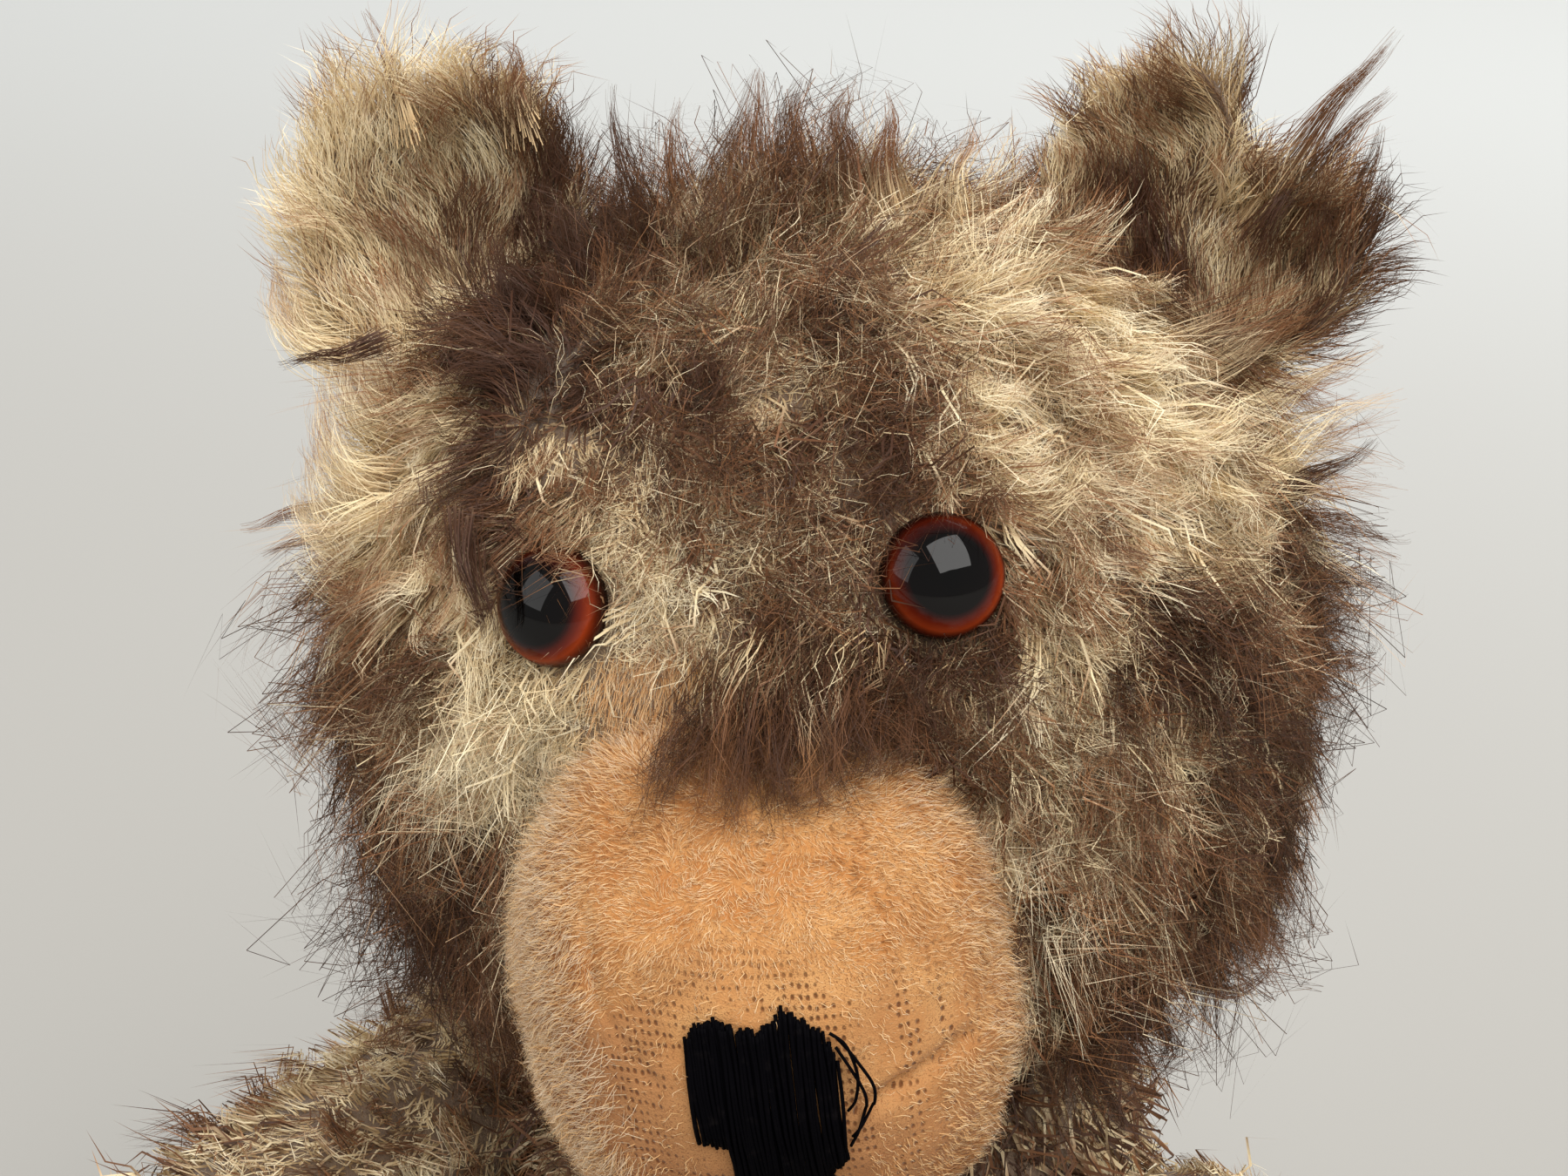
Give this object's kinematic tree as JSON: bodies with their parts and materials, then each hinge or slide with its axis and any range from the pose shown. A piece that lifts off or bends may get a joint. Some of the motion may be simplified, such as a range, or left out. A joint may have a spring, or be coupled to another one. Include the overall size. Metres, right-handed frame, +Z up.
{
  "type": "worn jointed teddy bear",
  "caption": "Sitting soft toy bear in worn, brown-tipped long-pile cloth, with glass eyes and an embroidered nose; its head, arms and legs turn on board discs held by cotter pins.",
  "frame": {"origin": "on the floor, under the middle of the sitting bear's box", "axes": "+Z up, the bear faces -Y, its own left is +X"},
  "size_m": [0.1666, 0.1512, 0.2164],
  "materials": {
    "mohair": "long worn pile, cream with brown tips",
    "short_pile": "short apricot pile, worn to the weave in places",
    "wood_wool": "pressed wood wool",
    "board": "pressed fibre board, matt",
    "steel": "dull",
    "amber_glass": "glossy amber glass with a black pupil",
    "black_thread": "satin-stitched cotton thread"
  },
  "bodies": {
    "torso": {"arm_left_body_disc": "board", "arm_left_body_washer": "steel", "arm_right_body_disc": "board", "arm_right_body_washer": "steel", "body_cover": "mohair", "body_stuffing": "wood_wool", "leg_left_body_disc": "board", "leg_left_body_washer": "steel", "leg_right_body_disc": "board", "leg_right_body_washer": "steel", "neck_disc_lower": "board", "neck_washer_lower": "steel"},
    "head": {"ear_left": "mohair", "ear_right": "mohair", "eye_left": "amber_glass", "eye_right": "amber_glass", "eye_wire_left": "steel", "eye_wire_right": "steel", "head_cover": "mohair", "head_stuffing": "wood_wool", "mouth_stitching": "black_thread", "muzzle_cover": "short_pile", "neck_cotter_pin": "steel", "neck_disc_upper": "board", "neck_washer_upper": "steel", "nose_stitching": "black_thread"},
    "arm_left": {"arm_left_cotter_pin": "steel", "arm_left_cover": "mohair", "arm_left_disc": "board", "arm_left_pad": "short_pile", "arm_left_stuffing": "wood_wool", "arm_left_washer": "steel"},
    "arm_right": {"arm_right_cotter_pin": "steel", "arm_right_cover": "mohair", "arm_right_disc": "board", "arm_right_pad": "short_pile", "arm_right_stuffing": "wood_wool", "arm_right_washer": "steel"},
    "leg_left": {"leg_left_cotter_pin": "steel", "leg_left_cover": "mohair", "leg_left_disc": "board", "leg_left_pad": "short_pile", "leg_left_stuffing": "wood_wool", "leg_left_washer": "steel"},
    "leg_right": {"leg_right_cotter_pin": "steel", "leg_right_cover": "mohair", "leg_right_disc": "board", "leg_right_pad": "short_pile", "leg_right_stuffing": "wood_wool", "leg_right_washer": "steel"}
  },
  "joints": [
    {"name": "neck_turn", "type": "hinge", "parent": "torso", "child": "head", "pos_m": [0.001, 0.03155, 0.118], "axis": [-0.1426, 0, 0.9898], "continuous": true},
    {"name": "arm_left_swing", "type": "hinge", "parent": "torso", "child": "arm_left", "pos_m": [0.0316, 0.03655, 0.073], "axis": [-0.9753, -0.1896, -0.1132], "range_deg": [-12, 42]},
    {"name": "arm_right_swing", "type": "hinge", "parent": "torso", "child": "arm_right", "pos_m": [-0.0324, 0.03655, 0.0835], "axis": [-0.9753, 0.1896, 0.1132], "range_deg": [-16, 38]},
    {"name": "leg_left_swing", "type": "hinge", "parent": "torso", "child": "leg_left", "pos_m": [0.0344, 0.03255, 0.023], "axis": [-0.9803, -0.1553, 0.1219], "range_deg": [-100, 8]},
    {"name": "leg_right_swing", "type": "hinge", "parent": "torso", "child": "leg_right", "pos_m": [-0.0344, 0.03255, 0.023], "axis": [-0.9803, 0.1553, -0.1219], "range_deg": [-100, 8]}
  ]
}
